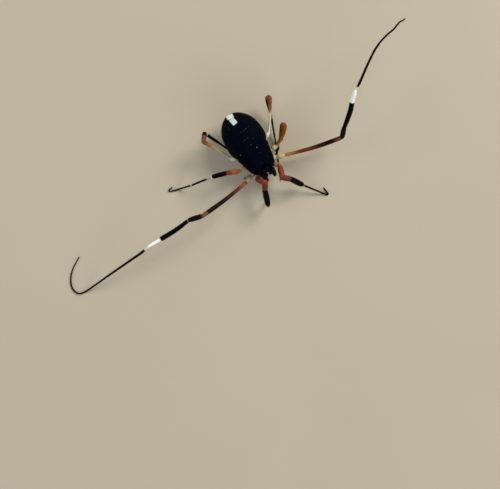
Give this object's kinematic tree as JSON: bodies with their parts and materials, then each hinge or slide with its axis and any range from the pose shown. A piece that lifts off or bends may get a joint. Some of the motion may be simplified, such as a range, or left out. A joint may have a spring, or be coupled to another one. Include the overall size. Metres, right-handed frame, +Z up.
{
  "type": "harvestman",
  "caption": "Still life-size harvestman with an oval black body, thin jointed legs bent close to it and one long feeler leg raised, resting on its feet.",
  "frame": {"origin": "on the floor, under the middle of the whole animal with its legs", "axes": "+Z up; +X is the animal's left, along the spread of its second legs; it faces -Y"},
  "size_m": [0.0432, 0.0126, 0.0103],
  "materials": {
    "shell_black": "matt, finely grained",
    "leg_black": "satin",
    "leg_orange": "satin",
    "coxa_cream": "satin",
    "eye": "glossy"
  },
  "bodies": {
    "root": {"opisthosoma": "shell_black", "prosoma": "shell_black", "ocularium": "shell_black", "chelicera_left": "leg_black", "pedipalp_left": "leg_black", "eye_left": "eye", "leg_1_left_coxa": "coxa_cream", "leg_1_left_femur": "leg_orange", "leg_1_left_patella": "leg_orange", "leg_1_left_tibia": "leg_black", "leg_1_left_metatarsus": "leg_black", "leg_1_left_tarsus": "leg_black", "leg_2_left_coxa": "coxa_cream", "leg_2_left_femur": "leg_orange", "leg_2_left_patella": "leg_orange", "leg_2_left_tibia": "leg_black", "leg_2_left_metatarsus": "leg_black", "leg_2_left_tarsus": "leg_black", "leg_3_left_coxa": "coxa_cream", "leg_3_left_femur": "leg_orange", "leg_3_left_patella": "leg_orange", "leg_3_left_tibia": "leg_black", "leg_3_left_metatarsus": "leg_black", "leg_3_left_tarsus": "leg_black", "leg_4_left_coxa": "coxa_cream", "leg_4_left_femur": "leg_orange", "leg_4_left_patella": "leg_orange", "leg_4_left_tibia": "leg_black", "leg_4_left_metatarsus": "leg_black", "leg_4_left_tarsus": "leg_black", "chelicera_right": "leg_black", "pedipalp_right": "leg_black", "eye_right": "eye", "leg_1_right_coxa": "coxa_cream", "leg_1_right_femur": "leg_orange", "leg_1_right_patella": "leg_orange", "leg_1_right_tibia": "leg_black", "leg_1_right_metatarsus": "leg_black", "leg_1_right_tarsus": "leg_black", "leg_2_right_coxa": "coxa_cream", "leg_2_right_femur": "leg_orange", "leg_2_right_patella": "leg_orange", "leg_2_right_tibia": "leg_black", "leg_2_right_metatarsus": "leg_black", "leg_2_right_tarsus": "leg_black", "leg_3_right_coxa": "coxa_cream", "leg_3_right_femur": "leg_orange", "leg_3_right_patella": "leg_orange", "leg_3_right_tibia": "leg_black", "leg_3_right_metatarsus": "leg_black", "leg_3_right_tarsus": "leg_black", "leg_4_right_coxa": "coxa_cream", "leg_4_right_femur": "leg_orange", "leg_4_right_patella": "leg_orange", "leg_4_right_tibia": "leg_black", "leg_4_right_metatarsus": "leg_black", "leg_4_right_tarsus": "leg_black"}
  },
  "joints": []
}
